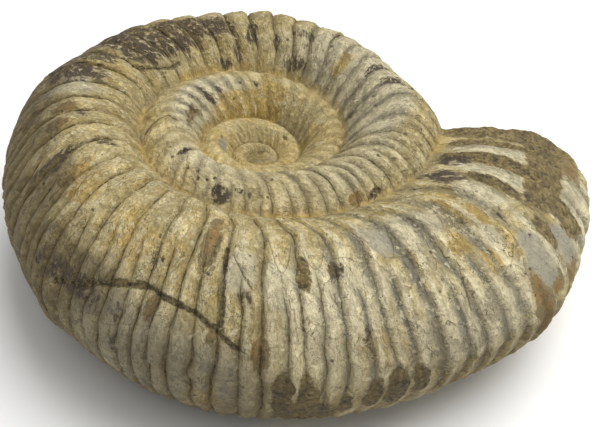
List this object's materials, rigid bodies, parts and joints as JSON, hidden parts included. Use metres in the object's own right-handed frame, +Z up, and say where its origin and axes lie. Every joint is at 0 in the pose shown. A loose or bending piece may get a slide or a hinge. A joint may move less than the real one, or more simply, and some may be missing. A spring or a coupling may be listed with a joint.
{
  "type": "ammonite fossil",
  "caption": "Coiled, ribbed ammonite shell, filled with pale limy stone and broken off at its newest end, lying on its side.",
  "frame": {"origin": "on the ground, under the middle of the fossil's box", "axes": "+Z up, along the coil's axis; +X towards the broken newest end, along the longest way across; -Y the side that the picture looks at"},
  "size_m": [0.1483, 0.1294, 0.049],
  "materials": {
    "fossil_stone": "matt, weathered limestone, cream and grey with brown stone in the grooves"
  },
  "bodies": {
    "root": {"ammonite": "fossil_stone"}
  },
  "joints": []
}
